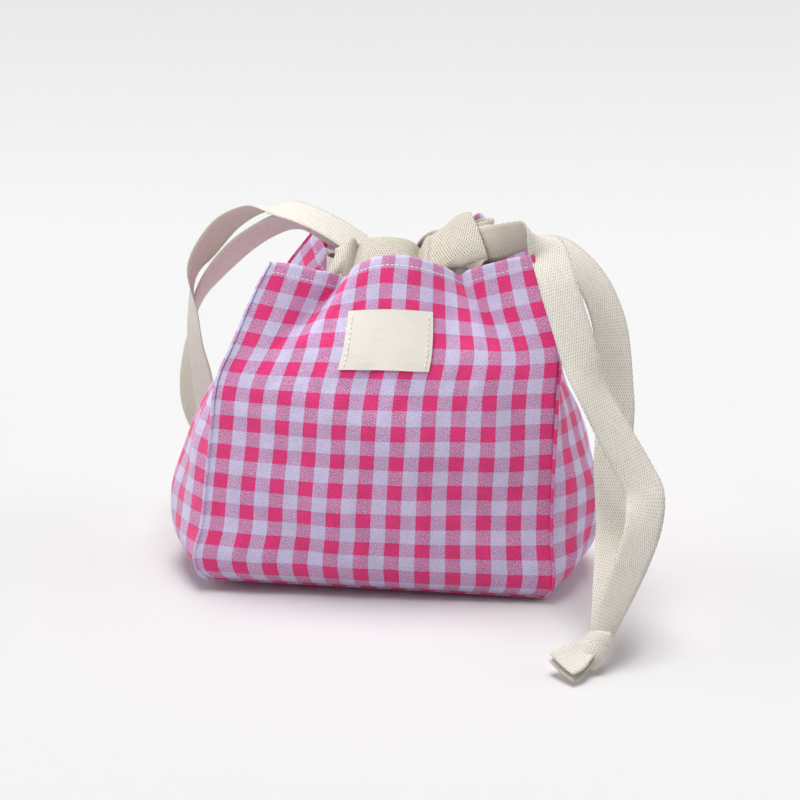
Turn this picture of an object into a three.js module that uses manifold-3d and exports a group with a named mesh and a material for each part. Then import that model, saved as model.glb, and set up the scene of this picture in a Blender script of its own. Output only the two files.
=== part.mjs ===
// A soft box-shaped drawstring project bag: gingham walls, lining, a gathered linen
// casing on each lip and two tape drawstrings that leave it at the right and the left.
// Millimetres, +Z up. The origin is under the middle of the base, the front faces -Y.
import * as THREE from 'three';
import { mergeVertices } from 'three/addons/utils/BufferGeometryUtils.js';
import Module from 'manifold-3d';

const wasm = await Module();
wasm.setup();

// Bag: flat sizes of the base, and the shape that the filled bag takes
const panel_width = 235;
const panel_depth = 125;
const hem_height = 225;
const mouth_width = 172;
const mouth_depth = 92;
const mouth_shift = 14;
const mouth_shift_start = 0.37;
const width_taper = 3.5;
const depth_taper = 0.9;
const panel_bulge = 16;
const bulge_sag = 0.75;
const gusset_belly = 33;
const belly_top = 0.66;
const belly_sag = 0.75;
const gusset_fold = 32;
const gusset_fold_start = 0.55;
const gusset_fold_round = 0.12;
const gusset_drop = 14;

// Hem: three lobes with two valleys between them on the front and on the back. The
// front's valleys fan out as they run down the panel.
const hem_wave_depth = 17;
const hem_wave_drop = 9;
const hem_valley = 0.43;
const hem_wave_start = 0.6;
const hem_wave_power = 1.3;
const front_fold_fan = 1.2;

// Cloth layers and seams
const cloth_thickness = 1.2;
const lining_thickness = 0.8;
const layer_gap = 0.4;
const seam_radius = 1.6;
const seam_gap = 0.4;
const seam_play = 0.2;
const seam_sides = 6;
const seam_setback = seam_radius + seam_gap + seam_play;
const lining_setback = 8;
const wall_rows = 11;
const thread_radius = 0.35;
const thread_gap = 0.3;
const topstitch_drop = 7;

// Label on the front panel
const label_width = 61;
const label_height = 39;
const label_thickness = 0.8;
const label_gap = 0.6;
const label_middle_x = 4;
const label_middle_height = 178;
const label_stitch_inset = 3.5;
const label_stitch_margin = 2.5;

// Linen casings and the tape that runs in them
const casing_length = 86;
const casing_middle_x = 20;
const casing_height = 35;
const casing_thickness = 8;
const casing_lean = 43;
const tape_width = 24;
const tape_thickness = 1;
const tape_clearance = 0.5;
const tape_layer_gap = 1.4;
const tape_end_gap = 0.3;
const crossing_length = 24;
const crossing_bar_length = 12;
const tape_lead = 5;
const turn_width = 12;
const turn_lead = 3;
const turn_reach = 11;
const turn_steps = 16;
const strand_steps = 40;

// Knots and tails
const knot_radius = 12;
const knot_half_length = 13;
const knot_roundness = 0.6;
const knot_rings = 6;
const knot_sides = 12;
const tail_length = 26;
const tail_spread = 1.4;
const tail_end_height = 5;
const tail_steps = 4;

// Finishes
const gingham = { color: 0xd26aa8, roughness: 0.9, metalness: 0 };
const plain_cotton = { color: 0xe9e2d3, roughness: 0.9, metalness: 0 };
const linen = { color: 0xcfc3ad, roughness: 0.95, metalness: 0 };
const tape = { color: 0xd8cfbd, roughness: 0.9, metalness: 0 };
const thread = { color: 0xf6eef2, roughness: 0.7, metalness: 0 };
const seam_cloth = { color: 0xc65a9c, roughness: 0.9, metalness: 0 };

const bag = new THREE.Group();

function addPiece(parent, name, geometry, finish) {
  const piece = new THREE.Mesh(geometry, new THREE.MeshStandardMaterial(finish));
  piece.name = name;
  parent.add(piece);
  return piece;
}

// Shape of the filled bag. t runs from the base seam (0) to the hem (1).
const wall_foot = layer_gap + 2 * seam_radius + seam_gap + cloth_thickness / 2;
const wall_rise = hem_height - wall_foot;

function easeIn(t, start) {
  const share = Math.max(0, (t - start) / (1 - start));
  return share * share * (3 - 2 * share);
}

function hemShare(t) {
  return Math.max(0, (t - hem_wave_start) / (1 - hem_wave_start)) ** hem_wave_power;
}

function halfWidth(t) {
  return THREE.MathUtils.lerp(panel_width, mouth_width, t ** width_taper) / 2;
}

function halfDepth(t) {
  return THREE.MathUtils.lerp(panel_depth, mouth_depth, t ** depth_taper) / 2;
}

function shift(t) {
  return mouth_shift * easeIn(t, mouth_shift_start);
}

// A point of the front (end -1) or back (end +1) panel, u from -1 at the left seam to +1
function panelPoint(end, u, t) {
  const bulge = panel_bulge * Math.sin(Math.PI * t ** bulge_sag) * (1 - u * u);
  const valley = hem_valley + (end < 0 ? front_fold_fan * (1 - t) : 0);
  const wave = (0.5 - 0.5 * Math.cos(Math.PI * u / valley)) * (1 - u ** 4) * hemShare(t);
  const x = shift(t) + u * halfWidth(t);
  const y = end * (halfDepth(t) + bulge - hem_wave_depth * wave);
  return new THREE.Vector3(x, y, wall_foot + wall_rise * t - hem_wave_drop * wave);
}

// A point of the left (side -1) or right (side +1) gusset, v from -1 at the front seam to +1
function gussetPoint(side, v, t) {
  const belly = gusset_belly * Math.sin(Math.PI * Math.min(1, t / belly_top) ** belly_sag) * (1 - v * v);
  const crease = Math.hypot(1, gusset_fold_round) - Math.hypot(v, gusset_fold_round);
  const fold = easeIn(t, gusset_fold_start) * crease;
  const x = shift(t) + side * (halfWidth(t) + belly - gusset_fold * fold);
  return new THREE.Vector3(x, v * halfDepth(t), wall_foot + wall_rise * t - gusset_drop * fold);
}

function cornerPoint(side, end, t) {
  return panelPoint(end, side, t);
}

function outwardNormal(pointAt, a, b, outward) {
  const step = 0.004;
  const across = pointAt(a + step, b).sub(pointAt(a - step, b));
  const upward = pointAt(a, Math.min(1, b + step)).sub(pointAt(a, Math.max(0, b - step)));
  return across.cross(upward).normalize().multiplyScalar(outward);
}

// A closed sheet whose middle surface lies level mm outside a surface, over a grid of stations
function clothSheet(pointAt, stations, outward, level, thickness) {
  const columns = stations[0].length;
  const layer = columns * stations.length;
  const positions = [];
  for (const offset of [level + thickness / 2, level - thickness / 2]) {
    for (const [a, b] of stations.flat()) {
      const point = pointAt(a, b).addScaledVector(outwardNormal(pointAt, a, b, outward), offset);
      positions.push(...point.toArray());
    }
  }
  const triangles = [];
  const quad = (p, q, r, s) => triangles.push(p, q, r, p, r, s);
  for (let row = 0; row + 1 < stations.length; row += 1) {
    for (let column = 0; column + 1 < columns; column += 1) {
      const corner = row * columns + column;
      quad(corner, corner + 1, corner + columns + 1, corner + columns);
      quad(layer + corner, layer + corner + columns, layer + corner + columns + 1, layer + corner + 1);
    }
  }
  const rim = [];
  for (let column = 0; column + 1 < columns; column += 1) rim.push(column);
  for (let row = 0; row + 1 < stations.length; row += 1) rim.push(row * columns + columns - 1);
  for (let column = columns - 1; column > 0; column -= 1) rim.push((stations.length - 1) * columns + column);
  for (let row = stations.length - 1; row > 0; row -= 1) rim.push(row * columns);
  rim.forEach((start, place) => {
    const next = rim[(place + 1) % rim.length];
    quad(start, layer + start, layer + next, next);
  });
  if (outward < 0) triangles.reverse();
  const geometry = new THREE.BufferGeometry();
  geometry.setAttribute('position', new THREE.Float32BufferAttribute(positions, 3));
  geometry.setIndex(triangles);
  geometry.computeVertexNormals();
  return geometry;
}

// Places from one edge to the other: the edge, the lining's edge, and even steps between
function placesBetween(from, to, fromLining, toLining, steps) {
  const places = [from];
  for (let step = 0; step <= steps; step += 1) {
    places.push(THREE.MathUtils.lerp(fromLining, toLining, step / steps));
  }
  return [...places, to];
}

// Grid stations over a wall, held back from its side seams
function wallStations(halfSpan, columns) {
  const lining_foot = lining_setback / wall_rise;
  const lining_top = 1 - topstitch_drop / wall_rise;
  return placesBetween(0, 1, lining_foot, lining_top, wall_rows).map((t) => {
    const reach = 1 - seam_setback / halfSpan(t);
    const lining_reach = 1 - lining_setback / halfSpan(t);
    return placesBetween(-reach, reach, -lining_reach, lining_reach, columns).map((along) => [along, t]);
  });
}

// A rod of round section along a curve through the given points
function rod(points, radius, sides, steps) {
  const outline = [];
  for (let side = 0; side < sides; side += 1) {
    const angle = 2 * Math.PI * side / sides;
    outline.push(new THREE.Vector2(radius * Math.cos(angle), radius * Math.sin(angle)));
  }
  const extrudePath = new THREE.CatmullRomCurve3(points);
  return new THREE.ExtrudeGeometry(new THREE.Shape(outline), { extrudePath, steps });
}

// A thread of square section that follows a wall, level mm outside it
function threadOn(wall, stations, level) {
  const points = stations.map(([a, b]) => {
    return wall.point(a, b).addScaledVector(outwardNormal(wall.point, a, b, wall.outward), level);
  });
  const positions = [];
  points.forEach((point, place) => {
    const ahead = points[Math.min(points.length - 1, place + 1)];
    const behind = points[Math.max(0, place - 1)];
    const along = ahead.clone().sub(behind).normalize();
    const out = outwardNormal(wall.point, ...stations[place], wall.outward);
    const sideways = along.clone().cross(out);
    for (const [outward, sideward] of [[1, 0], [0, 1], [-1, 0], [0, -1]]) {
      const corner = point.clone().addScaledVector(out, outward * thread_radius);
      positions.push(...corner.addScaledVector(sideways, sideward * thread_radius).toArray());
    }
  });
  const last = 4 * (points.length - 1);
  const triangles = [0, 2, 1, 0, 3, 2, last, last + 1, last + 2, last, last + 2, last + 3];
  for (let ring = 0; ring < last; ring += 4) {
    for (let side = 0; side < 4; side += 1) {
      const next = (side + 1) % 4;
      triangles.push(ring + side, ring + next, ring + 4 + next, ring + side, ring + 4 + next, ring + 4 + side);
    }
  }
  const geometry = new THREE.BufferGeometry();
  geometry.setAttribute('position', new THREE.Float32BufferAttribute(positions, 3));
  geometry.setIndex(triangles);
  geometry.computeVertexNormals();
  return geometry;
}

// Walls, their lining, and the line of topstitching below the hem
const walls = {
  front: { name: 'front_panel', point: (u, t) => panelPoint(-1, u, t), span: halfWidth, outward: 1, columns: 16 },
  back: { name: 'back_panel', point: (u, t) => panelPoint(1, u, t), span: halfWidth, outward: -1, columns: 16 },
  left: { name: 'left_gusset', point: (v, t) => gussetPoint(-1, v, t), span: halfDepth, outward: -1, columns: 8 },
  right: { name: 'right_gusset', point: (v, t) => gussetPoint(1, v, t), span: halfDepth, outward: 1, columns: 8 },
};
const lining_level = -(cloth_thickness / 2 + layer_gap + lining_thickness / 2);
const thread_level = cloth_thickness / 2 + thread_gap + thread_radius;

for (const [place, wall] of Object.entries(walls)) {
  const stations = wallStations(wall.span, wall.columns);
  const lined = stations.slice(1, -1).map((line) => line.slice(1, -1));
  const stitched = stations.at(-1).map(([along]) => [along, 1 - topstitch_drop / wall_rise]);
  addPiece(bag, wall.name, clothSheet(wall.point, stations, wall.outward, 0, cloth_thickness), gingham);
  const lining = clothSheet(wall.point, lined, wall.outward, lining_level, lining_thickness);
  addPiece(bag, `lining_${place}`, lining, plain_cotton);
  addPiece(bag, `topstitch_${place}`, threadOn(wall, stitched, thread_level), thread);
}

// Base panel, its lining and the seam round it
function rectangle(width, depth) {
  const outline = new THREE.Shape();
  outline.moveTo(-width / 2, -depth / 2);
  outline.lineTo(width / 2, -depth / 2);
  outline.lineTo(width / 2, depth / 2);
  outline.lineTo(-width / 2, depth / 2);
  outline.closePath();
  return outline;
}

function slab(outline, bottom, height) {
  return new THREE.ExtrudeGeometry(outline, { depth: height, bevelEnabled: false }).translate(0, 0, bottom);
}

const base_inset = 2 * (seam_radius + seam_gap);
const seam_ring = rectangle(panel_width + 2 * seam_radius, panel_depth + 2 * seam_radius);
seam_ring.holes.push(rectangle(panel_width - 2 * seam_radius, panel_depth - 2 * seam_radius));
const base_outline = rectangle(panel_width - base_inset, panel_depth - base_inset);
const lining_base_outline = rectangle(panel_width - 2 * lining_setback, panel_depth - 2 * lining_setback);
addPiece(bag, 'base_panel', slab(base_outline, 0, cloth_thickness), gingham);
addPiece(bag, 'lining_base', slab(lining_base_outline, cloth_thickness + layer_gap, lining_thickness), plain_cotton);
addPiece(bag, 'base_seam', slab(seam_ring, layer_gap, 2 * seam_radius), seam_cloth);

// Pinched seam ridge up each corner
const seam_steps = 16;
for (const [side, sideName] of [[-1, 'left'], [1, 'right']]) {
  for (const [end, endName] of [[-1, 'front'], [1, 'back']]) {
    const line = [];
    for (let step = 0; step <= seam_steps; step += 1) line.push(cornerPoint(side, end, step / seam_steps));
    addPiece(bag, `seam_${endName}_${sideName}`, rod(line, seam_radius, seam_sides, seam_steps), seam_cloth);
  }
}

// Label, sewn on by a row of stitches down each short side
const label_level = cloth_thickness / 2 + label_gap + label_thickness / 2;
const label_t = (label_middle_height - wall_foot) / wall_rise;

function labelStation(right, up) {
  const t = label_t + up / wall_rise;
  return [(label_middle_x + right - shift(t)) / halfWidth(t), t];
}

const label_stations = [-0.5, -0.17, 0.17, 0.5].map((up) => {
  const line = [-0.5, -0.33, -0.17, 0, 0.17, 0.33, 0.5];
  return line.map((right) => labelStation(right * label_width, up * label_height));
});
const label_sheet = clothSheet(walls.front.point, label_stations, 1, label_level, label_thickness);
addPiece(bag, 'label', label_sheet, plain_cotton);
const label_stitch_level = label_level + label_thickness / 2 + thread_gap + thread_radius;
for (const [side, sideName] of [[-1, 'left'], [1, 'right']]) {
  const right = side * (label_width / 2 - label_stitch_inset);
  const half_run = label_height / 2 - label_stitch_margin;
  const line = [-1, -0.33, 0.33, 1].map((up) => labelStation(right, up * half_run));
  addPiece(bag, `label_stitch_${sideName}`, threadOn(walls.front, line, label_stitch_level), thread);
}

// Casings: each is a flat sleeve that leans inward and sits in the hem's valleys.
// Its middle line, which is also the drawstring's line, is where the lip rolls open.
const lean = THREE.MathUtils.degToRad(casing_lean);
const casing_end_radius = casing_thickness / 2;
const casing_straight = casing_height / 2 - casing_end_radius;
const seat = panelPoint(-1, hem_valley, 1);
const seat_distance = casing_end_radius + seam_gap;
const reach_to_middle = seat_distance + casing_straight;
const casing_offset = -seat.y - reach_to_middle * Math.sin(lean);
const casing_line_z = seat.z + reach_to_middle * Math.cos(lean);

function stadium(height, thickness) {
  const radius = thickness / 2;
  const straight = height / 2 - radius;
  const outline = new THREE.Shape();
  outline.absarc(0, straight, radius, 0, Math.PI);
  outline.absarc(0, -straight, radius, Math.PI, 2 * Math.PI);
  return outline;
}

const slot_height = tape_width + 2 * tape_clearance;
const slot_thickness = 2 * tape_thickness + tape_layer_gap + 2 * tape_clearance;
const slot_outline = rectangle(slot_thickness, slot_height);

function casingSleeve() {
  const outline = stadium(casing_height, casing_thickness);
  outline.holes.push(slot_outline);
  const options = { depth: casing_length, bevelEnabled: false, curveSegments: 6 };
  const sleeve = new THREE.ExtrudeGeometry(outline, options);
  return sleeve.translate(0, 0, -casing_length / 2).rotateX(Math.PI / 2).rotateZ(Math.PI / 2);
}

// The two tapes change places half way along a casing, each on its own half of the width
const layer_level = (tape_thickness + tape_layer_gap) / 2;

function plate(x_from, x_to, y_from, y_to, z_from, z_to) {
  const box = new THREE.BoxGeometry(x_to - x_from, y_to - y_from, z_to - z_from);
  box.translate((x_from + x_to) / 2, (y_from + y_to) / 2, (z_from + z_to) / 2);
  box.deleteAttribute('normal');
  box.deleteAttribute('uv');
  const welded = mergeVertices(box);
  const mesh = { numProp: 3, vertProperties: welded.attributes.position.array, triVerts: welded.index.array };
  return new wasm.Manifold(new wasm.Mesh(mesh));
}

// outerEnd is the end (+1 right, -1 left) where this tape lies in the outer layer
function tapeRun(outerEnd) {
  const end = casing_length / 2;
  const half = tape_width / 2;
  const crossing = crossing_length / 2;
  const bar = crossing_bar_length / 2;
  const outer = [-layer_level - tape_thickness / 2, -layer_level + tape_thickness / 2];
  const inner = [layer_level - tape_thickness / 2, layer_level + tape_thickness / 2];
  const strip = outerEnd > 0 ? [tape_layer_gap, half] : [-half, -tape_layer_gap];
  const along = (from, to) => (outerEnd > 0 ? [from, to] : [-to, -from]);
  const solid = plate(...along(crossing, end), ...outer, -half, half)
    .add(plate(...along(-bar, crossing), ...outer, ...strip))
    .add(plate(...along(-bar, bar), outer[0], inner[1], ...strip))
    .add(plate(...along(-crossing, bar), ...inner, ...strip))
    .add(plate(...along(-end, -crossing), ...inner, -half, half));
  const result = solid.getMesh();
  const geometry = new THREE.BufferGeometry();
  geometry.setAttribute('position', new THREE.BufferAttribute(result.vertProperties, 3));
  geometry.setIndex(new THREE.BufferAttribute(result.triVerts, 1));
  geometry.computeVertexNormals();
  return geometry;
}

for (const [end, endName] of [[-1, 'front'], [1, 'back']]) {
  const lip = new THREE.Group();
  lip.position.set(casing_middle_x, end * casing_offset, casing_line_z);
  const tilt = new THREE.Group();
  tilt.rotation.x = -lean;
  lip.rotation.z = end < 0 ? 0 : Math.PI;
  lip.add(tilt);
  bag.add(lip);
  addPiece(tilt, `${endName}_casing`, casingSleeve(), linen);
  addPiece(tilt, `right_string_${endName}_run`, tapeRun(-end), tape);
  addPiece(tilt, `left_string_${endName}_run`, tapeRun(end), tape);
}

// A flat tape swept along a route of hand-chosen points, each with the way its width lies
class TapeRoute extends THREE.CatmullRomCurve3 {
  constructor(route) {
    super(route.map(([point]) => point), false, 'centripetal');
    this.widths = route.map(([, width]) => width);
  }

  computeFrenetFrames(segments) {
    const frames = { tangents: [], normals: [], binormals: [] };
    const last = this.widths.length - 1;
    for (let segment = 0; segment <= segments; segment += 1) {
      const share = segment / segments;
      const place = this.getUtoTmapping(share) * last;
      const index = Math.min(last - 1, Math.floor(place));
      const tangent = this.getTangentAt(share);
      const width = this.widths[index].clone().lerp(this.widths[index + 1], place - index);
      width.addScaledVector(tangent, -width.dot(tangent)).normalize();
      frames.tangents.push(tangent);
      frames.normals.push(width);
      frames.binormals.push(tangent.clone().cross(width));
    }
    return frames;
  }
}

function tapeStrand(route, steps, width = tape_width) {
  const extrudePath = new TapeRoute(route);
  return new THREE.ExtrudeGeometry(rectangle(width, tape_thickness), { extrudePath, steps });
}

const at = (x, y, z) => new THREE.Vector3(x, y, z);
const casing_right = casing_middle_x + casing_length / 2;
const casing_left = casing_middle_x - casing_length / 2;

// Where a tape leaves a casing, straight out for a short lead. The layers lie either side
// of the casing's middle, the outer one on the outer face's side.
function tapeExit(side, end, layer, lead) {
  const x = side > 0 ? casing_right + tape_end_gap : casing_left - tape_end_gap;
  const inward = at(0, -end * Math.cos(lean), -Math.sin(lean));
  const width = at(0, -end * Math.sin(lean), Math.cos(lean));
  const start = at(x, end * casing_offset, casing_line_z).addScaledVector(inward, layer * layer_level);
  return [[start, width], [start.clone().add(at(side * lead, 0, 0)), width]];
}

const outer_layer = -1;
const inner_layer = 1;

// Turn of each drawstring across the mouth, at the side away from its knot. The tape is
// gathered to its lower half there.
for (const [side, name] of [[1, 'left_string_turn'], [-1, 'right_string_turn']]) {
  const lower = (turn_width - tape_width) / 2;
  const ends = [-1, 1].map((end) => {
    const exit = tapeExit(side, end, inner_layer, turn_lead);
    return exit.map(([point, width]) => [point.addScaledVector(width, lower), width]);
  });
  const middle = at(ends[0][0][0].x + side * turn_reach, 0, ends[0][0][0].z);
  const route = [...ends[0], [middle, at(0, 0, 1)], ...ends[1].reverse()];
  addPiece(bag, name, tapeStrand(route, turn_steps, turn_width), tape);
}

// Free strands, from the casing to the knot: points and width directions chosen by hand
const strand_routes = {
  right_string_front_strand: [
    ...tapeExit(1, -1, outer_layer, tape_lead),
    [at(78, -22, 234), at(-0.1, 0.7, 0.7)],
    [at(92, -33, 240), at(-0.3, 0.85, 0.4)],
    [at(104, -42, 239), at(0.35, 0.85, 0.4)],
    [at(113, -52, 231), at(0.9, 0.4, 0.2)],
    [at(118, -62, 217), at(1, 0, 0)],
    [at(126, -71, 190), at(1, 0.05, 0.2)],
    [at(132, -78, 173), at(0.95, 0.2, 0.2)],
    [at(140, -85, 154), at(0.75, 0.6, 0.2)],
    [at(154, -94, 130), at(0.8, 0.5, 0.3)],
    [at(168, -104, 107), at(0.85, 0.3, 0.4)],
    [at(173.5, -111, 96), at(0.95, 0.1, 0.2)],
    [at(172, -124, 79), at(0.9, 0.4, 0)],
    [at(165.5, -137, 62), at(0.85, 0.45, 0.1)],
    [at(157.5, -148, 45), at(0.88, 0.35, 0.3)],
    [at(150, -158, 25.2), at(0.95, 0.1, 0.1)],
  ],
  right_string_back_strand: [
    ...tapeExit(1, 1, outer_layer, tape_lead),
    [at(77, 18, 233), at(-0.1, -0.75, 0.65)],
    [at(87, 15, 234.5), at(-0.2, -0.85, 0.45)],
    [at(98, 10.5, 233.5), at(-0.4, -0.85, 0.2)],
    [at(109, 5.5, 230.5), at(-0.6, -0.75, -0.1)],
    [at(119, 0, 225.5), at(-0.7, -0.65, -0.3)],
    [at(129.5, -7, 218), at(-0.75, -0.6, -0.3)],
    [at(139, -14, 208.5), at(-0.8, -0.55, -0.2)],
    [at(146, -22, 197), at(-0.82, -0.5, -0.15)],
    [at(151, -30, 183), at(-0.9, -0.4, -0.1)],
    [at(153.5, -38, 168.5), at(-0.95, -0.3, 0)],
    [at(155, -47, 151), at(-0.98, -0.2, 0)],
    [at(156, -57, 135), at(-1, -0.1, 0)],
    [at(155, -68, 118), at(-1, -0.1, 0)],
    [at(154.5, -78, 101), at(-1, -0.1, 0)],
    [at(155.5, -90, 85), at(-1, -0.2, 0)],
    [at(156, -104, 70), at(-0.95, -0.3, 0)],
    [at(153, -122, 57), at(-0.95, -0.3, 0)],
    [at(149, -138, 45), at(-0.95, -0.3, 0)],
    [at(146, -153, 25.6), at(-0.95, -0.2, 0)],
  ],
  left_string_front_strand: [
    ...tapeExit(-1, -1, outer_layer, tape_lead),
    [at(-38, -15, 236), at(0.2, 0.6, 0.75)],
    [at(-52, -7, 246), at(0.2, 0.75, 0.6)],
    [at(-67, 4, 250), at(0.1, 0.9, 0.35)],
    [at(-88, 12, 248), at(0, 0.9, -0.4)],
    [at(-107, 18, 238), at(0.3, 0.8, -0.5)],
    [at(-121, 24, 223), at(0.4, 0.75, -0.4)],
    [at(-132, 30, 206), at(0.2, 0.85, -0.4)],
    [at(-138, 36, 188), at(-0.2, 0.95, -0.2)],
    [at(-140, 42, 169), at(-0.45, 0.85, 0)],
    [at(-141, 48, 145), at(-0.6, 0.75, 0)],
    [at(-139, 55, 120), at(-0.75, 0.65, 0)],
    [at(-139, 63, 95), at(-0.8, 0.6, 0)],
    [at(-138, 77, 70), at(-0.85, 0.5, 0)],
    [at(-133, 94, 46), at(-0.9, 0.4, 0)],
    [at(-126, 112.5, 25.1), at(-0.95, 0.2, 0)],
  ],
  left_string_back_strand: [
    ...tapeExit(-1, 1, outer_layer, tape_lead),
    [at(-44, 17, 236), at(0, -0.65, 0.75)],
    [at(-58, 19, 239), at(-0.1, -0.75, 0.65)],
    [at(-71, 23, 237), at(-0.3, -0.75, 0.55)],
    [at(-86, 29, 229.5), at(-0.4, -0.75, 0.45)],
    [at(-101, 35, 219), at(-0.45, -0.75, 0.4)],
    [at(-115, 43, 205.5), at(-0.4, -0.8, 0.35)],
    [at(-128, 52, 190), at(-0.3, -0.85, 0.25)],
    [at(-139.5, 62, 172), at(-0.1, -0.95, 0.1)],
    [at(-148, 71, 150), at(0.2, -0.95, 0)],
    [at(-154, 79, 126), at(0.5, -0.8, 0)],
    [at(-156, 87, 99), at(0.7, -0.7, 0)],
    [at(-156, 94, 78), at(0.75, -0.6, 0)],
    [at(-151, 104, 56), at(0.85, -0.5, 0)],
    [at(-142, 113, 40), at(0.9, -0.4, 0)],
    [at(-127, 118, 26), at(0.95, -0.2, 0)],
  ],
};
for (const [name, route] of Object.entries(strand_routes)) {
  addPiece(bag, name, tapeStrand(route, strand_steps), tape);
}

// Overhand knots with their two tails, lying on the surface that the bag stands on
const knots = {
  right: { middle: at(147, -157, 13), heading: at(-0.74, -0.67, 0) },
  left: { middle: at(-124, 116, 13), heading: at(0.55, 0.83, 0) },
};
for (const [sideName, knot] of Object.entries(knots)) {
  const profile = [];
  for (let ring = 0; ring <= knot_rings; ring += 1) {
    const angle = Math.PI * (ring / knot_rings - 0.5);
    const radius = ring % knot_rings === 0 ? 0 : knot_radius * Math.cos(angle) ** knot_roundness;
    profile.push(new THREE.Vector2(radius, knot_half_length * Math.sin(angle)));
  }
  const body = addPiece(bag, `${sideName}_knot`, new THREE.LatheGeometry(profile, knot_sides), tape);
  body.position.copy(knot.middle);
  body.quaternion.setFromUnitVectors(at(0, 1, 0), knot.heading.clone().normalize());
  const heading = knot.heading.clone().normalize();
  const width = at(-heading.y, heading.x, 0);
  for (const [layer, tailName] of [[1, 'front'], [-1, 'back']]) {
    const start = knot.middle.clone().addScaledVector(heading, knot_half_length + tape_end_gap);
    start.z += layer * tail_spread;
    const finish = start.clone().addScaledVector(heading, tail_length);
    finish.z = tail_end_height + layer * tail_spread * 2;
    const route = [[start, width], [start.clone().lerp(finish, 0.5), width], [finish, width]];
    addPiece(bag, `${sideName}_tail_${tailName}`, tapeStrand(route, tail_steps), tape);
  }
}

export default bag;
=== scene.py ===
import math
import bpy
import numpy as np
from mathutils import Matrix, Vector


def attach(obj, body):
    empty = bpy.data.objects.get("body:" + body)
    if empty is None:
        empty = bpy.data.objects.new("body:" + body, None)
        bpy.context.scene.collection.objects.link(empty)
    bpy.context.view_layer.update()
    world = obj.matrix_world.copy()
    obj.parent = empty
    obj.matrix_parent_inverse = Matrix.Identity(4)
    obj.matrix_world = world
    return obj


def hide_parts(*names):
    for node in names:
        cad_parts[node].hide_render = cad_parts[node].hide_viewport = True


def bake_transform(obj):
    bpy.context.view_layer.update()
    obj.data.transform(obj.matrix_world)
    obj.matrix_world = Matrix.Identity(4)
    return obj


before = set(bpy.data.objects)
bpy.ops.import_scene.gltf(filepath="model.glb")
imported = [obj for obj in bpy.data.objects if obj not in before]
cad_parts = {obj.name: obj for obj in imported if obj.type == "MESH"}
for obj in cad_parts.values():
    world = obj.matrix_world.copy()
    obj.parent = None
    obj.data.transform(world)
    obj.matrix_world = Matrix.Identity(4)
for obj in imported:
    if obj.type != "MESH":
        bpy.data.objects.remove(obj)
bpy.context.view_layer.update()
scene = bpy.context.scene

# Studio. A pale paper sweep runs under the bag and curves up behind it, in a room that is
# white to look at and dim as a light. Broad soft light falls from overhead and from both
# sides, and a nearer soft lamp lights the upper front.
camera_place = Vector((0.1094, -1.0404, 0.4399))
camera_aim = Vector((0.0108, 0.0066, 0.1172))
camera = bpy.data.objects.new("camera", bpy.data.cameras.new("camera"))
camera.data.sensor_width = 36.0
camera.data.lens = 71.6
camera.location = camera_place
camera.rotation_euler = (camera_aim - camera_place).to_track_quat("-Z", "Y").to_euler()
scene.collection.objects.link(camera)
scene.camera = camera
scene.view_settings.view_transform = "Standard"


def linear(red, green, blue):
    """The shader's colour for one that is written from 0 to 255."""
    shares = [value / 255 for value in (red, green, blue)]
    return [s / 12.92 if s < 0.04045 else ((s + 0.055) / 1.055) ** 2.4 for s in shares] + [1.0]


def new_finish(name, roughness, sheen):
    """A material with its node list, its links and its shader."""
    finish = bpy.data.materials.new(name)
    finish.use_nodes = True
    tree = finish.node_tree
    shader = tree.nodes["Principled BSDF"]
    shader.inputs["Roughness"].default_value = roughness
    shader.inputs["Specular IOR Level"].default_value = 0.25
    shader.inputs["Sheen Weight"].default_value = sheen
    return finish, tree, shader


def new_piece(name, points, faces, finish, flat_places=None):
    """A mesh object; flat_places gives each point's place on the flat cloth, in metres."""
    mesh = bpy.data.meshes.new(name)
    mesh.from_pydata([tuple(float(c) for c in p) for p in points], [], faces)
    if flat_places is not None:
        layer = mesh.uv_layers.new(name="flat")
        for corner in mesh.loops:
            layer.data[corner.index].uv = flat_places[corner.vertex_index]
    mesh.polygons.foreach_set("use_smooth", [True] * len(mesh.polygons))
    mesh.materials.append(finish)
    piece = bpy.data.objects.new(name, mesh)
    scene.collection.objects.link(piece)
    return piece


def sheet_faces(rows, columns, closed=False):
    """Quads of a sheet whose points run along each row, row after row."""
    last = columns if closed else columns - 1
    return [
        (r * columns + c, r * columns + (c + 1) % columns,
         (r + 1) * columns + (c + 1) % columns, (r + 1) * columns + c)
        for r in range(rows - 1) for c in range(last)
    ]


sweep_half_width = 4.0
sweep_front = -3.0
sweep_turn = 1.0
sweep_radius = 2.5
sweep_top = 4.0
sweep_steps = 12
sweep_profile = [(sweep_front, 0.0), (0.0, 0.0), (sweep_turn, 0.0)]
for step in range(1, sweep_steps + 1):
    angle = step / sweep_steps * math.pi / 2
    sweep_y = sweep_turn + sweep_radius * math.sin(angle)
    sweep_profile.append((sweep_y, sweep_radius * (1 - math.cos(angle))))
sweep_profile.append((sweep_turn + sweep_radius, sweep_top))
paper, _, paper_shader = new_finish("sweep_paper", 0.95, 0.0)
paper_shader.inputs["Base Color"].default_value = linear(246, 246, 246)
sweep_points = [(side * sweep_half_width, y, z) for y, z in sweep_profile for side in (-1, 1)]
sweep = new_piece("paper_sweep", sweep_points, sheet_faces(len(sweep_profile), 2), paper)

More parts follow.
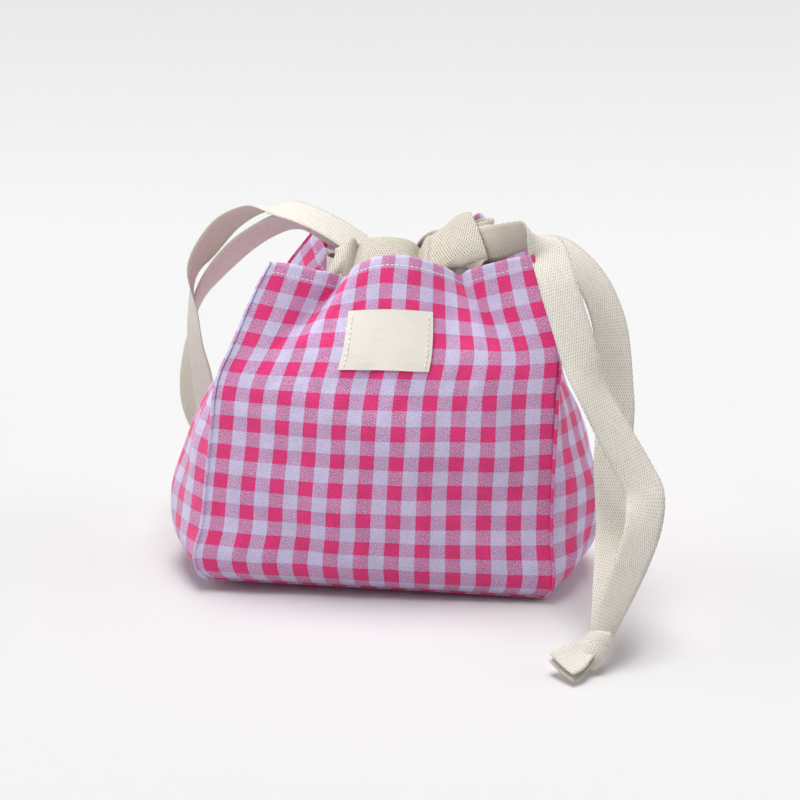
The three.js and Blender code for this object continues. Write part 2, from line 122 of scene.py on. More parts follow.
room_lit = 0.13
room_seen = 0.85
room = bpy.data.worlds.new("room")
room.use_nodes = True
room_nodes, room_links = room.node_tree.nodes, room.node_tree.links
room_light = room_nodes["Background"]
room_light.inputs["Color"].default_value = (1.0, 1.0, 1.0, 1.0)
ray_kind = room_nodes.new("ShaderNodeLightPath")
seen_ray = ray_kind.outputs["Is Camera Ray"]
for ray_name in ("Is Glossy Ray", "Is Transmission Ray"):
    either = room_nodes.new("ShaderNodeMath")
    either.operation = "MAXIMUM"
    room_links.new(seen_ray, either.inputs[0])
    room_links.new(ray_kind.outputs[ray_name], either.inputs[1])
    seen_ray = either.outputs[0]
room_strength = room_nodes.new("ShaderNodeMapRange")
room_strength.inputs["To Min"].default_value = room_lit
room_strength.inputs["To Max"].default_value = room_seen
room_links.new(seen_ray, room_strength.inputs["Value"])
room_links.new(room_strength.outputs[0], room_light.inputs["Strength"])
scene.world = room
for lamp_name, lamp_way, lamp_spread, lamp_energy in (
    ("overhead_lamp", (0.02, -0.07, -1.0), 32.0, 2.06),
    ("left_lamp", (1.0, -0.10, -0.55), 50.0, 0.60),
    ("right_lamp", (-1.0, -0.10, -0.55), 50.0, 0.55),
):
    lamp = bpy.data.objects.new(lamp_name, bpy.data.lights.new(lamp_name, "SUN"))
    lamp.data.angle = math.radians(lamp_spread)
    lamp.data.energy = lamp_energy
    lamp.rotation_euler = Vector(lamp_way).to_track_quat("-Z", "Y").to_euler()
    scene.collection.objects.link(lamp)
near_lamp_place = Vector((-0.18, -0.32, 0.56))
near_lamp_aim = Vector((0.0, -0.03, 0.15))
near_lamp = bpy.data.objects.new("near_lamp", bpy.data.lights.new("near_lamp", "AREA"))
near_lamp.data.size = 0.3
near_lamp.data.energy = 1.54
near_lamp.location = near_lamp_place
near_lamp.rotation_euler = (near_lamp_aim - near_lamp_place).to_track_quat("-Z", "Y").to_euler()
scene.collection.objects.link(near_lamp)
unlit = bpy.data.collections.new("not_lit_by_near_lamp")
unlit.objects.link(sweep)
unlit.collection_objects[0].light_linking.link_state = "EXCLUDE"
near_lamp.light_linking.receiver_collection = unlit

# Gingham. Cotton woven in 10 mm stripes of hot pink and lavender, both ways, so that
# squares of both colours stand between speckled ones. Washed, so a little crimped.
check_size = 0.010
thread_pitch = 0.0009
twill_pitch = 0.0015
hot_pink = linear(234, 60, 128)
lavender = linear(215, 206, 238)
mixed_tint = (0.86, 1.0, 1.06, 1.0)
stripe_wander = 0.0006
twill_across, twill_along, twill_weight = 0.62, 0.78, 0.13
weave_share = 0.12
gingham, tree, shader = new_finish("gingham_cotton", 0.92, 0.3)


def add_node(tree, kind, links=(), **values):
    """A shader node with its values set and its inputs linked, by input number."""
    node = tree.nodes.new(kind)
    for key, value in values.items():
        if key.startswith("input_"):
            node.inputs[int(key[6:])].default_value = value
        else:
            setattr(node, key, value)
    for number, source in links:
        tree.links.new(source, node.inputs[number])
    return node


def flat_axes(tree):
    """The place on the flat cloth: as one vector, and across and along it."""
    flat = add_node(tree, "ShaderNodeUVMap", uv_map="flat")
    parts = add_node(tree, "ShaderNodeSeparateXYZ", [(0, flat.outputs[0])])
    return flat.outputs[0], parts.outputs[0], parts.outputs[1]


def math_node(tree, operation, first, second):
    """One sum on two terms, each a socket or a number."""
    links = []
    values = {}
    for number, term in enumerate((first, second)):
        if isinstance(term, (int, float)):
            values[f"input_{number}"] = float(term)
        else:
            links.append((number, term))
    return add_node(tree, "ShaderNodeMath", links, operation=operation, **values).outputs[0]


def colour_node(tree, share, first, second):
    """The colour at a share of the way from the first to the second, each a socket or a list."""
    mix = add_node(tree, "ShaderNodeMix", [(0, share)], data_type="RGBA")
    for number, colour in ((6, first), (7, second)):
        if isinstance(colour, list):
            mix.inputs[number].default_value = colour
        else:
            tree.links.new(colour, mix.inputs[number])
    return mix.outputs[2]


def range_node(tree, value, low, high, new_low, new_high):
    """A value stretched from one range to another, and held inside it."""
    return add_node(
        tree, "ShaderNodeMapRange", [(0, value)], input_1=low, input_2=high, input_3=new_low, input_4=new_high
    ).outputs[0]


def noise_node(tree, vector, size, detail=2.0, stretch=(1.0, 1.0, 1.0)):
    """Cloudy noise whose spots are about size metres across."""
    scaled = add_node(tree, "ShaderNodeVectorMath", [(0, vector)], operation="MULTIPLY")
    scaled.inputs[1].default_value = [s / size for s in stretch]
    cloud = add_node(tree, "ShaderNodeTexNoise", [(0, scaled.outputs[0])])
    cloud.inputs["Scale"].default_value = 1.0
    cloud.inputs["Detail"].default_value = detail
    return cloud.outputs[0]


def stripe_node(tree, along, wander):
    """1 on every other stripe of the check and 0 between, with a wandering edge."""
    moved = math_node(tree, "ADD", along, wander)
    turns = math_node(tree, "MULTIPLY", moved, 1 / (2 * check_size))
    share = math_node(tree, "FRACT", turns, 0.0)
    return math_node(tree, "LESS_THAN", share, 0.5)


def ridge_node(tree, along, pitch):
    """A wave from 0 to 1 and back with one crest for each thread."""
    angle = math_node(tree, "MULTIPLY", along, 2 * math.pi / pitch)
    wave = math_node(tree, "SINE", angle, 0.0)
    half = math_node(tree, "MULTIPLY", wave, 0.5)
    return math_node(tree, "ADD", half, 0.5)


def dot_node(tree, first_turns, second_turns):
    """Dots in slanting rows, 1 at the middle of each, for places counted in turns."""
    rising = ridge_node(tree, math_node(tree, "ADD", first_turns, second_turns), 1.0)
    falling = ridge_node(tree, math_node(tree, "SUBTRACT", first_turns, second_turns), 1.0)
    return math_node(tree, "MULTIPLY", rising, falling)


def bump_up(tree, shader, height, distance, strength):
    """Feeds a height to the shader's normal."""
    bump = add_node(tree, "ShaderNodeBump")
    bump.inputs["Strength"].default_value = strength
    bump.inputs["Distance"].default_value = distance
    tree.links.new(height, bump.inputs["Height"])
    tree.links.new(bump.outputs[0], shader.inputs["Normal"])


flat, across, along = flat_axes(tree)
edge_noise = noise_node(tree, flat, 0.0016)
edge_middle = math_node(tree, "SUBTRACT", edge_noise, 0.5)
edge_wander = math_node(tree, "MULTIPLY", edge_middle, stripe_wander)
warp_stripe = stripe_node(tree, across, edge_wander)
weft_stripe = stripe_node(tree, along, edge_wander)
warp_ridge = ridge_node(tree, across, thread_pitch)
weft_ridge = ridge_node(tree, along, thread_pitch)
twill_first = math_node(tree, "MULTIPLY", across, twill_across)
twill_second = math_node(tree, "MULTIPLY", along, twill_along)
twill_line = math_node(tree, "ADD", twill_first, twill_second)
twill = ridge_node(tree, twill_line, twill_pitch)
speckle = noise_node(tree, flat, 0.0009, 2.0)
twill_part = math_node(tree, "MULTIPLY", twill, twill_weight)
thread_lead = math_node(tree, "ADD", twill_part, speckle)
thread_share = range_node(tree, thread_lead, 0.32, 0.76, 0.1, 1.0)
pink_share = add_node(
    tree, "ShaderNodeMix", [(0, thread_share), (2, weft_stripe), (3, warp_stripe)], data_type="FLOAT"
).outputs[0]
fade = noise_node(tree, flat, 0.012, 3.0)
fade_range = range_node(tree, fade, 0.3, 0.7, 0.92, 1.05)
check_colour = colour_node(tree, pink_share, lavender, hot_pink)
stripe_gap = math_node(tree, "SUBTRACT", warp_stripe, weft_stripe)
on_mixed = math_node(tree, "ABSOLUTE", stripe_gap, 0.0)
tinted = add_node(
    tree, "ShaderNodeMix", [(0, on_mixed), (6, check_colour)], data_type="RGBA",
    blend_type="MULTIPLY", input_7=mixed_tint,
)
fuzz = noise_node(tree, flat, 0.0010, 2.0)
fuzz_range = range_node(tree, fuzz, 0.25, 0.75, 0.78, 1.22)
faded = add_node(tree, "ShaderNodeVectorMath", [(0, tinted.outputs[2])], operation="SCALE")
tree.links.new(math_node(tree, "MULTIPLY", fade_range, fuzz_range), faded.inputs[3])
tree.links.new(faded.outputs[0], shader.inputs["Base Color"])
crimp = noise_node(tree, flat, 0.0045, 3.0)
weave_ridges = math_node(tree, "ADD", warp_ridge, weft_ridge)
weave_height = math_node(tree, "MULTIPLY", weave_ridges, weave_share)
bump_up(tree, shader, math_node(tree, "ADD", weave_height, crimp), 0.0012, 0.5)

# Bag cloth. Front, back, two gussets and a base, cut from the gingham and sewn into a
# box. The filled box is simulated as one cloth: its mouth is held where the collar
# gathers it, its base rests on the floor, and its contents press the lower walls out.
panel_width = 0.235
panel_depth = 0.125
panel_height = 0.228
cells_wide, cells_deep, cells_tall = 47, 25, 46
hem_lines = {
    "front": [
        (-0.0675, -0.047, 0.2240), (-0.0520, -0.0460, 0.2223), (-0.0411, -0.0435, 0.2188),
        (-0.0294, -0.0385, 0.2156), (-0.0217, -0.031, 0.2118), (-0.0185, -0.0355, 0.2162),
        (-0.0133, -0.041, 0.2221), (0.0004, -0.047, 0.2290), (0.0128, -0.049, 0.2312),
        (0.0280, -0.047, 0.2288), (0.0447, -0.037, 0.2207), (0.0533, -0.029, 0.2144),
        (0.0594, -0.034, 0.2188), (0.0837, -0.043, 0.2276), (0.0995, -0.047, 0.2320),
    ],
    "right": [
        (0.0995, -0.047, 0.2320), (0.082, -0.022, 0.217), (0.070, 0.0, 0.211), (0.082, 0.022, 0.215),
        (0.100, 0.047, 0.224),
    ],
    "back": [
        (0.100, 0.047, 0.224), (0.083, 0.041, 0.226), (0.070, 0.036, 0.237), (0.0625, 0.040, 0.2430),
        (0.055, 0.036, 0.237), (0.043, 0.024, 0.222), (0.030, 0.034, 0.219), (0.012, 0.044, 0.220),
        (-0.008, 0.026, 0.2155), (-0.030, 0.041, 0.2230), (-0.0505, 0.047, 0.2290),
    ],
    "left": [
        (-0.0505, 0.047, 0.2290), (-0.041, 0.022, 0.215), (-0.032, 0.0, 0.206), (-0.048, -0.024, 0.2130),
        (-0.0675, -0.047, 0.2240),
    ],
}
corner_seams = [
    [(-0.1140, -0.0600, 0.0080), (-0.1192, -0.0635, 0.014), (-0.1213, -0.0640, 0.026),
     (-0.1165, -0.060, 0.045), (-0.1140, -0.0565, 0.068), (-0.1100, -0.0545, 0.102),
     (-0.1045, -0.0535, 0.143), (-0.0925, -0.052, 0.171), (-0.0780, -0.049, 0.204),
     (-0.0675, -0.047, 0.2240)],
    [(0.1135, -0.0600, 0.0036), (0.1182, -0.0640, 0.010), (0.1195, -0.0640, 0.022), (0.1175, -0.060, 0.040),
     (0.1170, -0.0565, 0.068), (0.1175, -0.0545, 0.102), (0.1180, -0.0535, 0.143), (0.1186, -0.052, 0.171),
     (0.1090, -0.049, 0.201), (0.0995, -0.047, 0.2320)],
    [(0.1135, 0.0585, 0.0035), (0.1180, 0.0618, 0.010), (0.1190, 0.0615, 0.022), (0.1170, 0.0570, 0.060),
     (0.1170, 0.0545, 0.100), (0.1165, 0.0530, 0.140), (0.1130, 0.0510, 0.174), (0.1068, 0.0490, 0.200),
     (0.1000, 0.0470, 0.224)],
    [(-0.1135, 0.0585, 0.0035), (-0.1180, 0.0618, 0.010), (-0.1190, 0.0615, 0.022), (-0.1150, 0.0570, 0.060),
     (-0.1100, 0.0545, 0.100), (-0.1030, 0.0520, 0.140), (-0.0880, 0.0500, 0.178), (-0.0690, 0.0480, 0.206),
     (-0.0505, 0.0470, 0.2290)],
]
front_swell = 0.016
gusset_swell = 0.033
gusset_swell_top = 0.66
gusset_swell_power = 0.62
fold_start = 0.55
fold_power = 1.3
fold_fan = 2.2
fold_end_power = 8
base_rest = 0.0012
base_edge_power = 6
seam_hold = 0.55
upper_start = 0.7
upper_span = 0.3
upper_hold = 0.45
fill_pressure = 4.0
fill_top = 0.140
fill_fade = 0.080
settle_frames = 60
cloth_feel = {
    "quality": 6, "mass": 0.0006, "air_damping": 4.0,
    "tension_stiffness": 40.0, "compression_stiffness": 40.0,
    "shear_stiffness": 12.0, "bending_stiffness": 0.6,
    "tension_damping": 8.0, "compression_damping": 8.0, "shear_damping": 8.0, "bending_damping": 0.8,
    "use_pressure": True, "uniform_pressure_force": fill_pressure,
}


line_steps = 24


def way_along(line):
    """How far each place of a line is from its start, along it."""
    return np.concatenate([[0.0], np.cumsum(np.linalg.norm(np.diff(line, axis=0), axis=1))])


def smooth_line(points, count):
    """count + 1 places at even steps along a smooth line; values after the third go with it."""
    stops = np.array(points, dtype=float)
    ends = np.vstack([2 * stops[0] - stops[1], stops, 2 * stops[-1] - stops[-2]])
    fine = []
    for a, b, c, d in zip(ends, ends[1:], ends[2:], ends[3:]):
        for t in np.linspace(0, 1, line_steps, endpoint=False):
            fine.append(b + 0.5 * t * (c - a + t * (2 * a - 5 * b + 4 * c - d + t * (3 * (b - c) + d - a))))
    fine.append(stops[-1])
    fine = np.array(fine)
    travelled = way_along(fine[:, :3])
    wanted = np.linspace(0, travelled[-1], count + 1)
    return np.stack([np.interp(wanted, travelled, column) for column in fine.T], axis=1)


def eased(value):
    """0 to 1 with a soft start and end."""
    share = min(1.0, max(0.0, value))
    return share * share * (3 - 2 * share)


side_cells = [("front", cells_wide), ("right", cells_deep), ("back", cells_wide), ("left", cells_deep)]
ring_size = sum(cells for _, cells in side_cells)
side_start = {}
hem_ring = []
for side_name, cells in side_cells:
    side_start[side_name] = len(hem_ring)
    hem_ring.extend(smooth_line(hem_lines[side_name], cells)[:-1])
seam_places = [smooth_line(seam, cells_tall) for seam in corner_seams]
flat_corners = [
    np.array((x_sign * panel_width / 2, y_sign * panel_depth / 2, 0.0))
    for x_sign, y_sign in ((-1, -1), (1, -1), (1, 1), (-1, 1))
]
wall_rest = []
wall_begin = []
for row in range(cells_tall + 1):
    rise = row / cells_tall
    gather = eased((rise - fold_start) / (1 - fold_start)) ** fold_power
    belly = math.sin(math.pi * min(1.0, rise / gusset_swell_top) ** gusset_swell_power)
    for number, (side_name, cells) in enumerate(side_cells):
        first, second = seam_places[number][row], seam_places[(number + 1) % 4][row]
        hem_first = seam_places[number][-1]
        hem_second = seam_places[(number + 1) % 4][-1]
        outward = np.array([(0, -1, 0), (1, 0, 0), (0, 1, 0), (-1, 0, 0)][number], dtype=float)
        swell = front_swell * math.sin(math.pi * rise) if cells == cells_wide else gusset_swell * belly
        for cell in range(cells):
            share = cell / cells
            crown = 1 - (2 * share - 1) ** 2
            fan = 1 + fold_fan * (1 - rise) if side_name == "front" else 1.0
            hem_share = 0.5 + (share - 0.5) / fan
            hem_cell = hem_share * cells
            lower_cell = min(cells - 1, int(hem_cell))
            ring_cell = side_start[side_name] + lower_cell
            part = hem_cell - lower_cell
            hem_place = hem_ring[ring_cell] * (1 - part) + hem_ring[(ring_cell + 1) % ring_size] * part
            hem_shift = hem_place - (hem_first * (1 - hem_share) + hem_second * hem_share)
            hem_shift = hem_shift * (1 - (2 * share - 1) ** fold_end_power)
            place = first * (1 - share) + second * share
            wall_begin.append(place + outward * swell * crown * (1 - gather) + hem_shift * gather)
            flat_place = flat_corners[number] * (1 - share) + flat_corners[(number + 1) % 4] * share
            wall_rest.append(flat_place + np.array((0, 0, rise * panel_height)))


def base_place(x_share, y_share):
    """A place on the resting base: its edges stand a little proud of the floor."""
    corners = [seam[0] for seam in seam_places]
    front_edge = corners[0] * (1 - x_share) + corners[1] * x_share
    back_edge = corners[3] * (1 - x_share) + corners[2] * x_share
    place = front_edge * (1 - y_share) + back_edge * y_share
    edge = max(abs(2 * x_share - 1), abs(2 * y_share - 1)) ** base_edge_power
    place[2] = base_rest + (place[2] - base_rest) * edge
    return place


base_number = {}
for cell in range(cells_wide + 1):
    base_number[(cell, 0)] = cell
    base_number[(cells_wide - cell, cells_deep)] = side_start["back"] + cell
for cell in range(cells_deep + 1):
    base_number[(cells_wide, cell)] = side_start["right"] + cell
    base_number[(0, cells_deep - cell)] = (side_start["left"] + cell) % ring_size
cloth_begin = list(wall_begin)
cloth_rest = list(wall_rest)
for y_cell in range(cells_deep + 1):
    for x_cell in range(cells_wide + 1):
        if (x_cell, y_cell) in base_number:
            continue
        base_number[(x_cell, y_cell)] = len(cloth_begin)
        cloth_begin.append(base_place(x_cell / cells_wide, y_cell / cells_deep))
        flat_x = (x_cell / cells_wide - 0.5) * panel_width
        flat_y = (y_cell / cells_deep - 0.5) * panel_depth
        cloth_rest.append(np.array((flat_x, flat_y, 0.0)))
cloth_faces = sheet_faces(cells_tall + 1, ring_size, closed=True)
for y_cell in range(cells_deep):
    for x_cell in range(cells_wide):
        cloth_faces.append([
            base_number[place] for place in
            ((x_cell, y_cell), (x_cell, y_cell + 1), (x_cell + 1, y_cell + 1), (x_cell + 1, y_cell))
        ])
cloth_places = np.array(cloth_begin)
whole_cloth = new_piece("whole_cloth", cloth_begin, cloth_faces, gingham)
whole_cloth.shape_key_add(name="start")
flat_key = whole_cloth.shape_key_add(name="flat box")
flat_key.data.foreach_set("co", np.array(cloth_rest).ravel())
held = whole_cloth.vertex_groups.new(name="held")
hem_first_number = ring_size * cells_tall
wall_count = ring_size * (cells_tall + 1)
held.add(list(range(hem_first_number, wall_count)), 1.0, "ADD")
held.add(list(range(ring_size)) + list(range(wall_count, len(cloth_begin))), 1.0, "ADD")
for row in range(1, cells_tall):
    rise = row / cells_tall
    if rise > upper_start:
        row_hold = upper_hold * (rise - upper_start) / upper_span
        held.add(list(range(row * ring_size, (row + 1) * ring_size)), row_hold, "ADD")
    held.add([row * ring_size + start for start in side_start.values()], seam_hold, "REPLACE")
filled = whole_cloth.vertex_groups.new(name="filled")
for number, place in enumerate(cloth_rest):
    filled.add([number], min(1.0, max(0.0, (fill_top - place[2]) / fill_fade)), "ADD")
cloth = whole_cloth.modifiers.new("cloth", "CLOTH")
cloth.settings.vertex_group_mass = "held"
cloth.settings.rest_shape_key = flat_key
for setting, value in cloth_feel.items():
    setattr(cloth.settings, setting, value)
cloth.settings.vertex_group_pressure = "filled"
cloth.collision_settings.use_collision = False
cloth.point_cache.frame_start = 1
cloth.point_cache.frame_end = settle_frames
for number in range(1, settle_frames + 1):
    scene.frame_set(number)
settled = whole_cloth.evaluated_get(bpy.context.evaluated_depsgraph_get())
cloth_places = np.array([vertex.co[:] for vertex in settled.data.vertices])
scene.frame_set(1)
bpy.data.objects.remove(whole_cloth)


def finer(grid):
    """Twice as many cells each way, on a smooth surface through the same points."""
    for axis in (0, 1):
        lines = np.moveaxis(grid, axis, 0)
        outer = np.concatenate([2 * lines[:1] - lines[1:2], lines, 2 * lines[-1:] - lines[-2:-1]])
        halves = (9 * (outer[1:-2] + outer[2:-1]) - outer[:-3] - outer[3:]) / 16
        merged = np.empty((2 * len(lines) - 1,) + lines.shape[1:])
        merged[0::2] = lines
        merged[1::2] = halves
        grid = np.moveaxis(merged, 0, axis)
    return grid


def face_out(grid):
    """The outward direction at each point of a grid whose rows climb and columns run rightward."""
    sideways = np.gradient(grid, axis=1)
    upward = np.gradient(grid, axis=0)
    out = np.cross(sideways, upward)
    return out / np.linalg.norm(out, axis=2, keepdims=True)


soft_waves = [(2.0, 1.0, 0.3), (1.0, 2.6, 1.9), (3.1, 2.2, 4.0), (4.3, 0.7, 2.6), (0.8, 4.2, 5.1)]
wave_height = 0.0006
wave_edge = 8
crease_fade = (0.15, 0.7)
creases = [
    ((0.010, 0.118), (0.075, 0.104), -0.0010, 0.0030), ((0.012, 0.131), (0.065, 0.127), -0.0008, 0.0028),
    ((0.020, 0.094), (0.085, 0.092), -0.0007, 0.0030), ((0.080, 0.215), (0.050, 0.168), 0.0018, 0.0050),
]


def rumpled(grid, size, crease_list):
    """A grid with soft waves and a few creases pressed into it, none of them at its edges."""
    up = np.linspace(0, 1, grid.shape[0])[:, None]
    sideways = np.linspace(0, 1, grid.shape[1])[None, :]
    lift = 0.0
    for wide_turns, high_turns, start in soft_waves:
        lift = lift + wave_height * np.sin(2 * math.pi * (wide_turns * sideways + high_turns * up) + start)
    for start, end, height, half_width in crease_list:
        run = np.subtract(end, start)
        from_start = sideways * size[0] - start[0], up * size[1] - start[1]
        share = np.clip((from_start[0] * run[0] + from_start[1] * run[1]) / (run @ run), 0, 1)
        gap = np.hypot(from_start[0] - share * run[0], from_start[1] - share * run[1])
        fade = np.sin(math.pi * (crease_fade[0] + crease_fade[1] * share))
        lift = lift + height * np.exp(-(gap / half_width) ** 2) * fade
    hold = np.minimum(1, wave_edge * np.minimum(sideways, 1 - sideways))
    hold = hold * np.minimum(1, wave_edge * np.minimum(up, 1 - up))
    return grid + face_out(grid) * (lift * hold)[:, :, None]


wall_grid = {}
for side_name, cells in side_cells:
    columns = [(side_start[side_name] + cell) % ring_size for cell in range(cells + 1)]
    rows = [[row * ring_size + column for column in columns] for row in range(cells_tall + 1)]
    wall_grid[side_name] = finer(cloth_places[np.array(rows)])
base_rows = [
    [base_number[(cells_wide - x_cell, y_cell)] for x_cell in range(cells_wide + 1)]
    for y_cell in range(cells_deep + 1)
]
wall_grid["base"] = finer(cloth_places[np.array(base_rows)])
flat_size = {
    "front": (panel_width, panel_height), "back": (panel_width, panel_height),
    "left": (panel_depth, panel_height), "right": (panel_depth, panel_height),
    "base": (panel_width, panel_depth),
}
for side_name, _ in side_cells:
    crease_list = creases if side_name == "front" else []
    wall_grid[side_name] = rumpled(wall_grid[side_name], flat_size[side_name], crease_list)
check_shift = {
    "front": (-0.0050, 0.0110), "back": (0.0040, 0.0110), "left": (0.0075, 0.0110),
    "right": (0.0100, 0.0110), "base": (0.0, 0.0),
}
cloth_thickness = 0.0009


def sheet_piece(name, grid, size, shift, finish, thickness):
    """A sheet on a grid of places, with its flat places in metres and a real thickness."""
    rows, columns = grid.shape[:2]
    flat_places = [
        (c / (columns - 1) * size[0] + shift[0], r / (rows - 1) * size[1] + shift[1])
        for r in range(rows) for c in range(columns)
    ]
    piece = new_piece(name, grid.reshape(-1, 3), sheet_faces(rows, columns), finish, flat_places)
    body = piece.modifiers.new("thickness", "SOLIDIFY")
    body.thickness = thickness
    body.offset = -1.0
    return piece


panel_node = {
    "front": "front_panel", "back": "back_panel", "left": "left_gusset", "right": "right_gusset",
    "base": "base_panel",
}
for side_name, grid in wall_grid.items():
    panel = sheet_piece(
        side_name + "_cloth", grid, flat_size[side_name], check_shift[side_name], gingham, cloth_thickness
    )
    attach(panel, "bag")
    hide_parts(panel_node[side_name])

# Lining. Plain natural cotton, sewn as a second bag inside the first, on the same
# seams, its top edge caught under the hem.
lining_gap = 0.0018
lining_thickness = 0.0005
lining_cells_below_hem = 4
lining_pitch = 0.0008
lining_cotton, tree, shader = new_finish("lining_cotton", 0.9, 0.2)
flat, across, along = flat_axes(tree)
lining_cloud = noise_node(tree, flat, 0.006, 4.0)
lining_tint = colour_node(tree, lining_cloud, linear(226, 219, 203), linear(238, 232, 219))
tree.links.new(lining_tint, shader.inputs["Base Color"])
lining_warp = ridge_node(tree, across, lining_pitch)
lining_weft = ridge_node(tree, along, lining_pitch)
lining_weave = math_node(tree, "ADD", lining_warp, lining_weft)
bump_up(tree, shader, lining_weave, 0.0003, 0.4)
for side_name, grid in wall_grid.items():
    inner = grid - face_out(grid) * lining_gap
    if side_name != "base":
        inner = inner[1:-lining_cells_below_hem, 2:-2]
    inner = inner[::2, ::2]
    size = flat_size[side_name]
    lining = sheet_piece(side_name + "_lining", inner, size, (0.0, 0.0), lining_cotton, lining_thickness)
    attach(lining, "bag")
    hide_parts("lining_" + side_name)

# Seam ridges. At each upright corner and round the base the two panels are pinched
# together and edge-stitched, so a narrow welt of doubled gingham stands out.
welt_profile = [
    (-0.0016, -0.0008), (-0.0015, 0.0014), (-0.0012, 0.0030), (-0.0005, 0.0038), (0.0005, 0.0038),
    (0.0012, 0.0030), (0.0015, 0.0014), (0.0016, -0.0008),
]
ridge_size = 0.50
base_ridge_size = 0.30
ridge_lean, ridge_lean_drop = 0.7, 1.0
ridge_lean_start, ridge_lean_span = 0.35, 0.3
base_ridge_out, base_ridge_down = 0.35, 0.9


def unit(vectors):
    """Each row of a list of vectors at length one."""
    return vectors / np.linalg.norm(vectors, axis=-1, keepdims=True)


def welt(name, line, out, flat_start, closed, size):
    """A welt along a line of places, standing out along the given directions."""
    if closed:
        tangent = unit(np.roll(line, -1, axis=0) - np.roll(line, 1, axis=0))
    else:
        tangent = unit(np.gradient(line, axis=0))
    out = unit(out - tangent * np.sum(out * tangent, axis=1, keepdims=True))
    side = np.cross(tangent, out)
    travelled = way_along(line)
    points = []
    flat_places = []
    for number in range(len(line)):
        for profile_side, profile_out in welt_profile:
            sideways, outward = profile_side * size, profile_out * size
            points.append(line[number] + side[number] * sideways + out[number] * outward)
            flat_places.append((flat_start[0] + outward + sideways, flat_start[1] + travelled[number]))
    rows, columns = len(line), len(welt_profile)
    faces = sheet_faces(rows, columns)
    if closed:
        faces += [
            ((rows - 1) * columns + c, (rows - 1) * columns + c + 1, c + 1, c) for c in range(columns - 1)
        ]
    else:
        faces += [list(range(columns))[::-1], list(range((rows - 1) * columns, rows * columns))]
    return new_piece(name, points, faces, gingham, flat_places)


for name, first_side, second_side, flat_start in (
    ("front_left", "left", "front", (-0.0042, 0.0110)), ("front_right", "front", "right", (0.2255, 0.0110)),
    ("back_right", "right", "back", (0.0040, 0.0110)), ("back_left", "back", "left", (0.0075, 0.0110)),
):
    seam_line = wall_grid[second_side][:, 0]
    panel_out = face_out(wall_grid[first_side])[:, -1]
    gusset_out = face_out(wall_grid[second_side])[:, 0]
    if first_side not in ("front", "back"):
        panel_out, gusset_out = gusset_out, panel_out
    lean = []
    for rise in np.linspace(0, 1, len(seam_line)):
        lean.append(ridge_lean - ridge_lean_drop * eased((rise - ridge_lean_start) / ridge_lean_span))
    ridge_out = gusset_out + panel_out * np.array(lean)[:, None]
    ridge = welt("ridge_" + name, seam_line, ridge_out, flat_start, False, ridge_size)
    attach(ridge, "bag")
    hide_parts("seam_" + name)
foot_line = []
foot_out = []
for side_name, cells in side_cells:
    grid = wall_grid[side_name]
    foot_line.extend(grid[0, :-1])
    foot_out.extend(face_out(grid)[0, :-1])
foot_out = np.array(foot_out) * np.array((base_ridge_out, base_ridge_out, 0.0))
foot_out = foot_out + np.array((0.0, 0.0, -base_ridge_down))
base_ridge = welt("ridge_base", np.array(foot_line), foot_out, (0.0040, -0.0050), True, base_ridge_size)
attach(base_ridge, "bag")
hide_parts("base_seam")

# Hem stitching. White thread in short straight stitches, 7 mm under the folded hem of
# each side, each stitch sunk a little where the needle went in.
hem_stitch_drop = 0.007
stitch_length = 0.0026
stitch_step = 0.0036
stitch_margin = 0.004
thread_radius = 0.00035
thread_sides = 6
thread_rings = ((0.0, 0.35), (0.15, 0.85), (0.5, 1.0), (0.85, 0.85), (1.0, 0.35))
thread_bow, thread_sink = 1.6, 0.4
white_thread, tree, shader = new_finish("white_thread", 0.6, 0.3)
thread_place = add_node(tree, "ShaderNodeTexCoord").outputs["Object"]
thread_cloud = noise_node(tree, thread_place, 0.0012)
thread_tint = colour_node(tree, thread_cloud, linear(228, 224, 226), linear(250, 248, 248))
tree.links.new(thread_tint, shader.inputs["Base Color"])


def on_grid(grid, across_share, up_share):
    """The place and the outward direction at a share of a panel's width and height."""
    rows, columns = grid.shape[0] - 1, grid.shape[1] - 1
    r = min(rows - 1, int(up_share * rows))
    c = min(columns - 1, int(across_share * columns))
    v = up_share * rows - r
    u = across_share * columns - c
    low = grid[r, c] * (1 - u) + grid[r, c + 1] * u
    high = grid[r + 1, c] * (1 - u) + grid[r + 1, c + 1] * u
    sideways = (grid[r, c + 1] - grid[r, c]) * (1 - v) + (grid[r + 1, c + 1] - grid[r + 1, c]) * v
    out = np.cross(sideways, high - low)
    return low * (1 - v) + high * v, out / np.linalg.norm(out)


def stitches(name, lines, radius, finish):
    """One piece of many stitches: each is a thread that bows out between its two ends."""
    points = []
    faces = []
    for start, end, out in lines:
        along = end - start
        length = np.linalg.norm(along)
        along = along / length
        side = np.cross(along, out)
        first = len(points)
        for share, thickness in thread_rings:
            bow = out * radius * (thread_bow * math.sin(math.pi * share) - thread_sink)
            for step in range(thread_sides):
                angle = step / thread_sides * 2 * math.pi
                ring = side * math.cos(angle) + out * math.sin(angle)
                points.append(start + along * length * share + bow + ring * radius * thickness)
        for quad in sheet_faces(len(thread_rings), thread_sides, closed=True):
            faces.append([first + corner for corner in quad])
        last = len(points) - thread_sides
        faces.append([first + step for step in range(thread_sides)][::-1])
        faces.append([last + step for step in range(thread_sides)])
    return new_piece(name, points, faces, finish)


